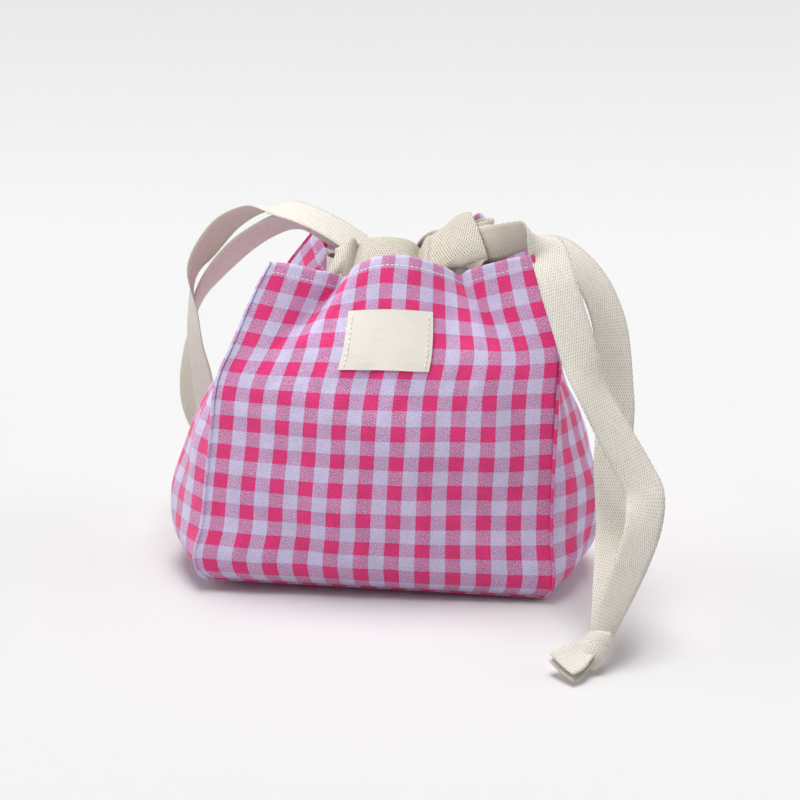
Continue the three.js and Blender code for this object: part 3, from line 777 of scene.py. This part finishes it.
for side_name, cells in side_cells:
    width, height = flat_size[side_name]
    up_share = 1 - hem_stitch_drop / height
    count = int((width - 2 * stitch_margin) / stitch_step)
    stitch_lines = []
    for number in range(count):
        start_share = (stitch_margin + number * stitch_step) / width
        start, out = on_grid(wall_grid[side_name], start_share, up_share)
        end, _ = on_grid(wall_grid[side_name], start_share + stitch_length / width, up_share)
        stitch_lines.append((start, end, out))
    hem_stitches = stitches(side_name + "_hem_stitches", stitch_lines, thread_radius, white_thread)
    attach(hem_stitches, "bag")
    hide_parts("topstitch_" + side_name)

# Label. A small patch of bare cream cotton, stiffer than the bag, sewn to the front by
# a row of cream stitches down each short side.
label_across = (0.0828, 0.1452)
label_up = (0.1545, 0.1925)
label_cells = (24, 16)
label_thickness = 0.0008
label_clearance = 0.0004
label_yield = 0.6
label_stitch_inset = 0.0033
label_stitch_margin = 0.0022
label_stitch_count = 10
label_stitch_share = 0.62
label_thread_radius = 0.00055
label_rim_angle = 50.0
label_pitch = 0.0007
label_cotton, tree, shader = new_finish("label_cotton", 0.85, 0.15)
flat, across, along = flat_axes(tree)
label_warp = ridge_node(tree, across, label_pitch)
label_weft = ridge_node(tree, along, label_pitch)
label_slub = noise_node(tree, flat, 0.0012, 3.0, (0.3, 1.6, 1.0))
label_tint = colour_node(tree, label_slub, linear(242, 235, 221), linear(252, 248, 239))
tree.links.new(label_tint, shader.inputs["Base Color"])
label_ridges = math_node(tree, "ADD", label_warp, label_weft)
label_weave = math_node(tree, "ADD", label_ridges, label_slub)
bump_up(tree, shader, label_weave, 0.0003, 0.5)
label_size = (label_across[1] - label_across[0], label_up[1] - label_up[0])
label_places = []
label_terms = []
for up in np.linspace(*label_up, label_cells[1] + 1):
    for sideways in np.linspace(*label_across, label_cells[0] + 1):
        place, _ = on_grid(wall_grid["front"], sideways / panel_width, up / panel_height)
        label_places.append(place)
        u = (sideways - sum(label_across) / 2) / label_size[0] * 2
        v = (up - sum(label_up) / 2) / label_size[1] * 2
        label_terms.append((1.0, u, v, u * u, u * v, v * v))
label_places = np.array(label_places)
label_terms = np.array(label_terms)
label_fit = label_terms @ np.linalg.lstsq(label_terms, label_places, rcond=None)[0]
label_fit = label_fit + (label_places - label_fit) * label_yield
label_grid = label_fit.reshape(label_cells[1] + 1, label_cells[0] + 1, 3)
label_up_out = face_out(label_grid).reshape(-1, 3)
label_gap = np.sum((label_fit - label_places) * label_up_out, axis=1)
label_raise = label_thickness + label_clearance + np.maximum(0.0, -label_gap).max()
label_grid = label_grid + face_out(label_grid) * label_raise
label = sheet_piece("label_patch", label_grid, label_size, (0.0, 0.0), label_cotton, label_thickness)
label_rim = label.modifiers.new("crisp rim", "EDGE_SPLIT")
label_rim.split_angle = math.radians(label_rim_angle)
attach(label, "bag")
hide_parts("label")
for side_name, inset_share in (
    ("left", label_stitch_inset / label_size[0]), ("right", 1 - label_stitch_inset / label_size[0]),
):
    stitch_lines = []
    run = label_size[1] - 2 * label_stitch_margin
    step_share = run / label_size[1] / label_stitch_count
    for number in range(label_stitch_count):
        start_share = label_stitch_margin / label_size[1] + number * step_share
        start, out = on_grid(label_grid, inset_share, start_share)
        end, _ = on_grid(label_grid, inset_share, start_share + label_stitch_share * step_share)
        stitch_lines.append((start, end, out))
    label_stitches = stitches("label_stitches_" + side_name, stitch_lines, label_thread_radius, label_cotton)
    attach(label_stitches, "bag")
    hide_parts("label_stitch_" + side_name)

# Linen collar. A strip of coarse linen is sewn inside the hem of the front and of the
# back. Its top is turned in and stitched down as a tunnel, which the tapes gather into
# thick soft folds at the left and leave smooth at the right.
linen_pitch = 0.0020
linen_gap_share, linen_slub_share = 0.75, 0.35
linen_thickness = 0.0009
collar_cut = (0.160, 0.092)
collar_columns = 160
collar_rise_rows = 12
collar_span = (0.19, 0.81)
knee_lift = 0.004
collar_hem_row = -5
collar_inset = 0.0034
collar_clearance = 0.0030
collar_reach = 0.0040
collar_wall_rows = 24
tunnel_half_height = 0.0175
tunnel_half_room = 0.0042
tunnel_lean = math.radians(43.0)
tunnel_rows = 25
tunnel_flare_up, tunnel_flare_down = 0.25, -0.55
right_slant, right_slant_start, right_slant_span = -0.37, 0.040, 0.024
left_slant, left_slant_start, left_slant_span = 0.30, -0.012, 0.014
tunnel_stops = {
    "front": [
        (-0.0335, -0.006, 0.2120), (-0.0330, 0.001, 0.2128), (-0.0300, 0.006, 0.2138),
        (-0.0250, 0.008, 0.2146), (-0.0205, 0.006, 0.215), (-0.0180, 0.002, 0.215),
        (-0.0168, -0.0005, 0.215), (-0.0152, 0.002, 0.215), (-0.0110, 0.0065, 0.215),
        (-0.0050, 0.0085, 0.215), (0.0040, 0.009, 0.2152), (0.0130, 0.0075, 0.2155),
        (0.0200, 0.0035, 0.216), (0.0235, -0.002, 0.2165), (0.0250, -0.0055, 0.217),
        (0.0268, -0.003, 0.2178), (0.0285, 0.0015, 0.2188), (0.031, 0.003, 0.2205),
        (0.0335, 0.0012, 0.2222), (0.037, 0.0015, 0.2245), (0.0430, 0.003, 0.2280), (0.0500, 0.004, 0.2318),
        (0.0580, 0.0035, 0.2352), (0.0650, 0.002, 0.2375),
    ],
    "back": [
        (-0.0290, 0.0, 0.2060), (-0.0260, 0.005, 0.2062), (-0.0190, 0.007, 0.2064),
        (-0.0120, 0.003, 0.2066), (-0.0095, -0.007, 0.2068), (-0.0075, -0.0075, 0.207),
        (-0.0055, 0.0, 0.2072), (0.0, 0.0065, 0.2080), (0.0080, 0.008, 0.2090), (0.0150, 0.005, 0.2100),
        (0.0175, -0.006, 0.2105), (0.0192, -0.007, 0.2110), (0.0208, 0.0, 0.2115), (0.0260, 0.006, 0.2135),
        (0.0340, 0.0065, 0.2170), (0.0405, 0.002, 0.2200), (0.0420, -0.005, 0.2212),
        (0.0438, -0.0055, 0.2222), (0.0455, 0.001, 0.2232), (0.052, 0.0045, 0.2265),
        (0.0580, 0.004, 0.2290), (0.0640, 0.002, 0.2310),
    ],
}
tunnel_middle_y = {"front": -0.0174, "back": 0.0174}
linen, tree, shader = new_finish("linen", 0.92, 0.2)
flat, across, along = flat_axes(tree)
linen_across = math_node(tree, "MULTIPLY", across, 1 / linen_pitch)
linen_along = math_node(tree, "MULTIPLY", along, 1 / linen_pitch)
linen_gaps = dot_node(tree, linen_across, linen_along)
linen_slub = noise_node(tree, flat, 0.0022, 3.0, (0.6, 1.3, 1.0))
gap_part = math_node(tree, "MULTIPLY", linen_gaps, linen_gap_share)
slub_part = math_node(tree, "MULTIPLY", linen_slub, linen_slub_share)
linen_dark = math_node(tree, "ADD", gap_part, slub_part)
linen_tint = colour_node(tree, linen_dark, linear(241, 234, 220), linear(122, 110, 94))
tree.links.new(linen_tint, shader.inputs["Base Color"])
bump_up(tree, shader, math_node(tree, "SUBTRACT", 1.0, linen_gaps), 0.0006, 0.6)


def tunnel_place(side_name, stop, height, out):
    """A place in a tunnel: at a stop of its line, up its lean and out from its middle."""
    x, fold, z = stop
    sign = -1.0 if side_name == "front" else 1.0
    up = np.array((0.0, -sign * math.sin(tunnel_lean), math.cos(tunnel_lean)))
    face = np.array((0.0, sign * math.cos(tunnel_lean), math.sin(tunnel_lean)))
    slant = right_slant * eased((x - right_slant_start) / right_slant_span)
    slant += left_slant * eased((left_slant_start - x) / left_slant_span)
    reach = height / tunnel_half_height
    flare = 1.0 + (tunnel_flare_up if height > 0 else tunnel_flare_down) * reach ** 2
    middle = np.array((x + slant * height, tunnel_middle_y[side_name], z))
    return middle + up * height + face * (fold * flare + out)


def kept_inside(places, side_name, clearance):
    """Places moved in where they stand too far out for the wall that is level with them."""
    moved = places.reshape(-1, 3).copy()
    outward = -1.0 if side_name == "front" else 1.0
    wall_places = wall_grid[side_name][-collar_wall_rows:].reshape(-1, 3)
    gaps = np.linalg.norm(moved[:, None, ::2] - wall_places[None, :, ::2], axis=2)
    wall_depths = np.where(gaps < collar_reach, wall_places[None, :, 1] * outward, 1.0)
    limit = wall_depths.min(axis=1) - clearance
    moved[:, 1] = outward * np.minimum(moved[:, 1] * outward, limit)
    return moved.reshape(places.shape)


tunnel_line = {name: smooth_line(stops, collar_columns) for name, stops in tunnel_stops.items()}
tunnel_angles = np.linspace(-math.pi / 2, math.pi * 3 / 2, tunnel_rows)
for side_name, lip in (("front", "front_lip"), ("back", "back_lip")):
    grid = wall_grid[side_name]
    out = face_out(grid)
    line = tunnel_line[side_name]
    collar_rows = []
    shares = np.linspace(*collar_span, collar_columns + 1)
    if side_name == "back":
        shares = shares[::-1]
    hem_columns = shares * (grid.shape[1] - 1)

    def hem_row(row, inward, lift):
        """A line inside the hem, row steps from the top, moved in and up."""
        places = grid[row] - out[row] * inward + np.array((0.0, 0.0, lift))
        numbers = np.arange(grid.shape[1])
        return np.stack([np.interp(hem_columns, numbers, places[:, axis]) for axis in range(3)], axis=1)

    foot = hem_row(collar_hem_row, collar_inset, 0.0)
    knee = hem_row(-1, collar_inset, knee_lift)
    bottom = np.array([tunnel_place(side_name, stop, -tunnel_half_height, 0.0) for stop in line])
    for share in np.linspace(0, 1, collar_rise_rows, endpoint=False):
        collar_rows.append((1 - share) ** 2 * foot + 2 * share * (1 - share) * knee + share ** 2 * bottom)
    for angle in tunnel_angles:
        height = tunnel_half_height * math.sin(angle)
        room = tunnel_half_room * math.cos(angle)
        collar_rows.append(np.array([tunnel_place(side_name, stop, height, room) for stop in line]))
    collar_grid = kept_inside(np.array(collar_rows), side_name, collar_clearance)
    if side_name == "back":
        collar_grid = collar_grid[:, ::-1]
    collar = sheet_piece(side_name + "_collar", collar_grid, collar_cut, (0.0, 0.0), linen, linen_thickness)
    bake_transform(collar)
    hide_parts(side_name + "_casing")

# Drawstring tapes. Two loops of heavy linen tape, 24 mm wide, woven in coarse crosswise
# ribs. Each loop runs through both tunnels, turns at one end of the mouth, and leaves at
# the other as two free strands that are knotted together.
tape_width = 0.024
tape_thickness = 0.0011
rib_pitch = 0.0021
dot_pitch = 0.0015
tape_back_shift = 0.5
tape_columns = 9
tape_rim_thinning, tape_rim_power = 0.45, 6
tape_cup_middle = 0.08
tape_step = 0.0025
linen_tape, tree, shader = new_finish("linen_tape", 0.9, 0.15)
flat, across, along = flat_axes(tree)
across_turns = math_node(tree, "MULTIPLY", across, 1 / dot_pitch)
along_turns = math_node(tree, "MULTIPLY", along, 1 / (2 * rib_pitch))
dots = dot_node(tree, across_turns, along_turns)
tape_slub = noise_node(tree, flat, 0.0030, 3.0, (1.4, 0.5, 1.0))
tape_spots = math_node(tree, "MULTIPLY", dots, tape_slub)
tape_dark = range_node(tree, tape_spots, 0.0, 0.50, 0.0, 0.70)
front_tint = colour_node(tree, tape_dark, linear(236, 230, 220), linear(142, 134, 122))
# Painted shade: the back face is the same cream tape tinted darker, to stand in for the shade that falls on
# the tape's underside.
painted_shade_back_tint = colour_node(tree, tape_dark, linear(224, 217, 202), linear(146, 136, 120))
on_back = math_node(tree, "GREATER_THAN", across, tape_back_shift / 2)
tape_colour = colour_node(tree, on_back, front_tint, painted_shade_back_tint)
tree.links.new(tape_colour, shader.inputs["Base Color"])
bump_up(tree, shader, math_node(tree, "SUBTRACT", 1.0, dots), 0.0006, 0.45)


def tape_piece(name, stops, step=tape_step, width=tape_width, thickness=tape_thickness):
    """A tape through stops (place, way across, share of its width, cupping), and its centreline."""
    length = np.sum(np.linalg.norm(np.diff(np.array(stops)[:, :3], axis=0), axis=1))
    line = smooth_line(stops, max(8, int(length / step)))
    middle = line[:, :3]
    tangent = unit(np.gradient(middle, axis=0))
    wide = unit(line[:, 3:6] - tangent * np.sum(line[:, 3:6] * tangent, axis=1, keepdims=True))
    face = np.cross(tangent, wide)
    travelled = way_along(middle)
    section = [(place, 0.5) for place in np.linspace(-0.5, 0.5, tape_columns)]
    section += [(place, -0.5) for place in np.linspace(0.5, -0.5, tape_columns)]
    points = []
    flat_places = []
    for number in range(len(middle)):
        width_share, cup = line[number, 6], line[number, 7]
        for sideways, outward in section:
            rim = 1.0 - tape_rim_thinning * (2 * abs(sideways)) ** tape_rim_power
            lift = outward * thickness * rim + cup * width * (sideways ** 2 - tape_cup_middle)
            beside = wide[number] * sideways * width * width_share
            points.append(middle[number] + beside + face[number] * lift)
            back_shift = tape_back_shift if outward > 0 else 0.0
            flat_places.append((sideways * width + back_shift, travelled[number]))
    rows, columns = len(middle), len(section)
    faces = sheet_faces(rows, columns, closed=True)
    faces += [list(range(columns))[::-1], list(range((rows - 1) * columns, rows * columns))]
    return new_piece(name, points, faces, linen_tape, flat_places), middle


run_half_width = 0.0108
run_clearance = 0.0060
run_thickness = 0.0008
run_step = 0.004
for side_name in ("front", "back"):
    for loop_name, layer in (("right", 0.0010), ("left", -0.0010)):
        run_stops = []
        for stop in tunnel_line[side_name][1:-1:3]:
            low = tunnel_place(side_name, stop, -run_half_width, layer)
            high = tunnel_place(side_name, stop, run_half_width, layer)
            low, high = kept_inside(np.array((low, high)), side_name, run_clearance - layer)
            run_stops.append((*((low + high) / 2), *(high - low), 1.0, 0.0))
        run_name = f"{loop_name}_tape_{side_name}_run"
        run, _ = tape_piece(run_name, run_stops, run_step, 2 * run_half_width, run_thickness)
        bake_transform(run)
        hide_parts(f"{loop_name}_string_{side_name}_run")
turn_stops = {
    "right": [
        (-0.0250, -0.0160, 0.2125, 0.0, 0.68, 0.73), (-0.0310, -0.0135, 0.2128, 0.0, 0.50, 0.86),
        (-0.0360, -0.0070, 0.2130, 0.0, 0.20, 0.98), (-0.0375, 0.0, 0.2130, 0.0, 0.0, 1.0),
        (-0.0360, 0.0070, 0.2128, 0.0, -0.20, 0.98), (-0.0310, 0.0135, 0.2120, 0.0, -0.50, 0.86),
        (-0.0250, 0.0160, 0.2115, 0.0, -0.68, 0.73),
    ],
    "left": [
        (0.0590, -0.0150, 0.2390, 0.0, 0.68, 0.73), (0.0665, -0.0125, 0.2395, 0.0, 0.50, 0.86),
        (0.0720, -0.0060, 0.2395, 0.0, 0.20, 0.98), (0.0735, 0.0, 0.2390, 0.0, 0.0, 1.0),
        (0.0720, 0.0070, 0.2385, 0.0, -0.20, 0.98), (0.0665, 0.0135, 0.2375, 0.0, -0.50, 0.86),
        (0.0590, 0.0160, 0.2365, 0.0, -0.68, 0.73),
    ],
}
turn_width = 0.014
for loop_name, stops in turn_stops.items():
    turn, _ = tape_piece(loop_name + "_tape_turn", [(*stop, 1.0, 0.0) for stop in stops], width=turn_width)
    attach(turn, "bag")
    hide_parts(loop_name + "_string_turn")
strand_stops = {
    "right_front": [
        (56, -20, 231.5, -0.2, 0.55, 0.8), (66.5, -21.4, 233.4, -0.25, 0.45, 0.85),
        (78, -25, 236, -0.2, -0.15, 0.97), (87, -29.5, 239.8, -0.2, -0.42, 0.88),
        (92.5, -32.8, 242, -0.14, -0.52, 0.84), (97.5, -34.8, 243.4, -0.25, -0.58, 0.78),
        (102.5, -38, 242.4, -0.51, -0.82, 0.26), (106.5, -41.4, 238.6, -0.77, -0.58, -0.26),
        (110, -44, 233, -0.88, -0.2, -0.4), (114, -53, 224, -0.95, -0.05, -0.3),
        (118, -61, 212, -1, 0, -0.25), (126, -71, 190, -1, -0.05, -0.2), (132, -78, 173, -0.95, -0.2, -0.2),
        (140, -85, 154, -0.75, -0.6, -0.2), (154, -94, 130, -0.8, -0.5, -0.3),
        (168, -104, 107, -0.85, -0.3, -0.4), (173.5, -111, 96, -0.95, -0.1, -0.2),
        (172, -124, 79, -0.9, -0.4, 0), (165.5, -137, 62, -0.85, -0.45, -0.1),
        (157.5, -148, 45, -0.88, -0.35, -0.3), (151.5, -154.5, 30, -0.9, -0.1, -0.3),
        (148.5, -157, 19, -0.95, -0.1, -0.1),
    ],
    "right_back": [
        (58, 17.5, 227, 0, -0.68, 0.73), (66, 18.5, 229.5, -0.05, -0.69, 0.72),
        (75, 18, 232, -0.1, -0.75, 0.65), (86, 15, 234, -0.2, -0.85, 0.45),
        (98, 10.5, 233.5, -0.4, -0.85, 0.2), (109, 5.5, 230.5, -0.6, -0.75, -0.1),
        (119, 0, 225.5, -0.7, -0.65, -0.3), (129.5, -7, 218, -0.75, -0.6, -0.3),
        (139, -14, 208.5, -0.8, -0.55, -0.2), (146, -22, 197, -0.82, -0.5, -0.15),
        (151, -30, 183, -0.9, -0.4, -0.1), (153.5, -38, 168.5, -0.95, -0.3, 0),
        (155, -47, 151, -0.98, -0.2, 0), (156, -57, 135, -1, -0.1, 0), (155, -68, 118, -1, -0.1, 0),
        (154.5, -78, 101, -1, -0.1, 0), (155.5, -90, 85, -1, -0.2, 0), (156, -104, 70, -0.95, -0.3, 0),
        (154.5, -122, 55, -0.95, -0.3, 0), (152, -138, 42, -0.95, -0.3, 0),
        (149.5, -149.5, 31, -0.95, -0.25, 0), (148, -155, 21, -0.95, -0.2, 0),
    ],
    "left_front": [
        (-8, -6, 222, 0.1, 0.8, 0.6), (-18, -5, 229.5, 0.15, 0.85, 0.5),
        (-28.5, -4.5, 236.5, 0.15, 0.88, 0.45), (-40, -3.5, 242.5, 0.15, 0.9, 0.4),
        (-53, -1, 247.5, 0.12, 0.92, 0.36), (-67, 4, 250, 0.08, 0.95, 0.25), (-88, 12, 248, 0, 0.9, -0.4),
        (-107, 18, 238, 0.3, 0.8, -0.5), (-121, 24, 223, 0.4, 0.75, -0.4), (-132, 30, 206, 0.2, 0.85, -0.4),
        (-138, 36, 188, -0.2, 0.95, -0.2), (-140, 42, 169, -0.45, 0.85, 0), (-141, 48, 145, -0.6, 0.75, 0),
        (-139, 55, 120, -0.75, 0.65, 0), (-139, 63, 95, -0.8, 0.6, 0), (-138, 77, 70, -0.85, 0.5, 0),
        (-133, 94, 46, -0.9, 0.4, 0), (-126, 112.5, 25.1, -0.95, 0.2, 0),
    ],
    "left_back": [
        (-20, 15, 218, 0, -0.68, 0.73), (-31, 15, 226, 0, -0.66, 0.75), (-44, 16, 234, 0, -0.65, 0.75),
        (-58, 19, 238.5, -0.1, -0.75, 0.65), (-71, 23, 237, -0.3, -0.75, 0.55),
        (-86, 29, 229.5, -0.4, -0.75, 0.45), (-101, 35, 219, -0.45, -0.75, 0.4),
        (-115, 42, 205.5, -0.4, -0.8, 0.35), (-128, 50, 190, -0.3, -0.85, 0.25),
        (-139, 59, 172, -0.1, -0.95, 0.1), (-147, 68, 150, 0.2, -0.95, 0), (-152, 77, 126, 0.5, -0.8, 0),
        (-156, 87, 99, 0.7, -0.7, 0), (-156, 94, 78, 0.75, -0.6, 0), (-151, 104, 56, 0.85, -0.5, 0),
        (-142, 113, 40, 0.9, -0.4, 0), (-127, 118, 26, 0.95, -0.2, 0),
    ],
}
knot_pinch = (1.0, 0.8, 0.45, 0.15)
pinch_narrowing, pinch_cup = 0.45, 0.35
strands = {}
for strand_name, stops in strand_stops.items():
    loop_name, side_name = strand_name.split("_")
    narrowed = []
    for number, stop in enumerate(stops):
        to_end = len(stops) - 1 - number
        pinch = knot_pinch[to_end] if to_end < len(knot_pinch) else 0.0
        in_metres = [value / 1000 for value in stop[:3]]
        narrowed.append((*in_metres, *stop[3:], 1.0 - pinch_narrowing * pinch, pinch_cup * pinch))
    strand, strand_path = tape_piece(f"{loop_name}_tape_{side_name}", narrowed)
    outward = np.array((1.0 if loop_name == "right" else -1.0, 0.0, 0.0))
    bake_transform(strand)
    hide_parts(f"{loop_name}_string_{side_name}_strand")
    strands[strand_name] = (strand, strand_path)

# Knots. The two strands of each loop are tied in one overhand knot: a barrel of tape
# wrapped round the bundle, with the two cut ends standing out of it, one on the other.
knot_middle = {"right": np.array((0.1450, -0.1555, 0.0145)), "left": np.array((-0.124, 0.116, 0.0135))}
knot_heading = {"right": np.array((-0.74, -0.67, 0.0)), "left": np.array((0.55, 0.83, 0.0))}
wrap_radii = (0.0088, 0.0074)
wrap_half_width = 0.0105
wrap_turns = 1.35
wrap_creep = 0.0030
wrap_sway = 0.0025
wrap_start = math.pi * 0.35
wrap_growth = 0.13
wrap_narrowing = 0.30
wrap_thickness = 0.0014
wrap_forward, wrap_down = 0.50, 0.87
turn_cells, width_cells = 60, 10
tail_length = 0.026
tail_root = 0.002
tail_drop, tail_sink = 0.0052, 0.0010
tail_gap, tail_gap_growth = 0.0011, 0.0013
tail_tilt = 0.30
tail_width, tail_widening, tail_widening_rate = 0.50, 0.42, 1.3
tail_cup, tail_uncupping = 0.35, 0.55
tail_stop_count = 7
tail_step = 0.0015
floor_up = np.array((0.0, 0.0, 1.0))
for loop_name in ("right", "left"):
    middle = knot_middle[loop_name]
    heading = unit(knot_heading[loop_name])
    beside = np.cross(heading, floor_up)
    axis = unit(heading * wrap_forward - floor_up * wrap_down)
    over = np.cross(beside, axis)
    wrap_points = []
    wrap_flat = []
    for turn_cell in range(turn_cells + 1):
        winding = turn_cell / turn_cells
        angle = winding * wrap_turns * 2 * math.pi + wrap_start
        grow = 1.0 + wrap_growth * winding
        for width_cell in range(width_cells + 1):
            w = 2 * width_cell / width_cells - 1
            barrel = 1.0 - wrap_narrowing * w * w
            drift = wrap_creep * (2 * winding - 1) + wrap_sway * math.sin(angle)
            round_place = beside * math.cos(angle) * wrap_radii[0] + over * math.sin(angle) * wrap_radii[1]
            wrap_points.append(middle + axis * (w * wrap_half_width + drift) + round_place * barrel * grow)
            wrap_flat.append((w * tape_width / 2, winding * wrap_turns * 2 * math.pi * wrap_radii[0]))
    wrap_faces = sheet_faces(turn_cells + 1, width_cells + 1)
    knot = new_piece(loop_name + "_knot_wrap", wrap_points, wrap_faces, linen_tape, wrap_flat)
    wrap_body = knot.modifiers.new("thickness", "SOLIDIFY")
    wrap_body.thickness = wrap_thickness
    wrap_body.offset = -1.0
    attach(knot, loop_name + "_drawstring")
    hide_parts(loop_name + "_knot")
    for side_name, layer in (("front", 1.0), ("back", -1.0)):
        tail_stops = []
        for share in np.linspace(0, 1, tail_stop_count):
            reach = heading * (tail_root + tail_length * share)
            height = -tail_drop * eased(share) + layer * (tail_gap + tail_gap_growth * share) - tail_sink
            place = middle + reach + floor_up * height
            tilt = beside + floor_up * tail_tilt
            spread = tail_width + tail_widening * eased(share * tail_widening_rate)
            tail_stops.append((*place, *tilt, spread, -tail_cup * (1 - tail_uncupping * share)))
        tail, _ = tape_piece(f"{loop_name}_tail_{side_name}_end", tail_stops, tail_step)
        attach(tail, loop_name + "_drawstring")
        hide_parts(f"{loop_name}_tail_{side_name}")
    for side_name in ("front", "back"):
        strand_name = f"{loop_name}_{side_name}"
        strand, strand_path = strands[strand_name]
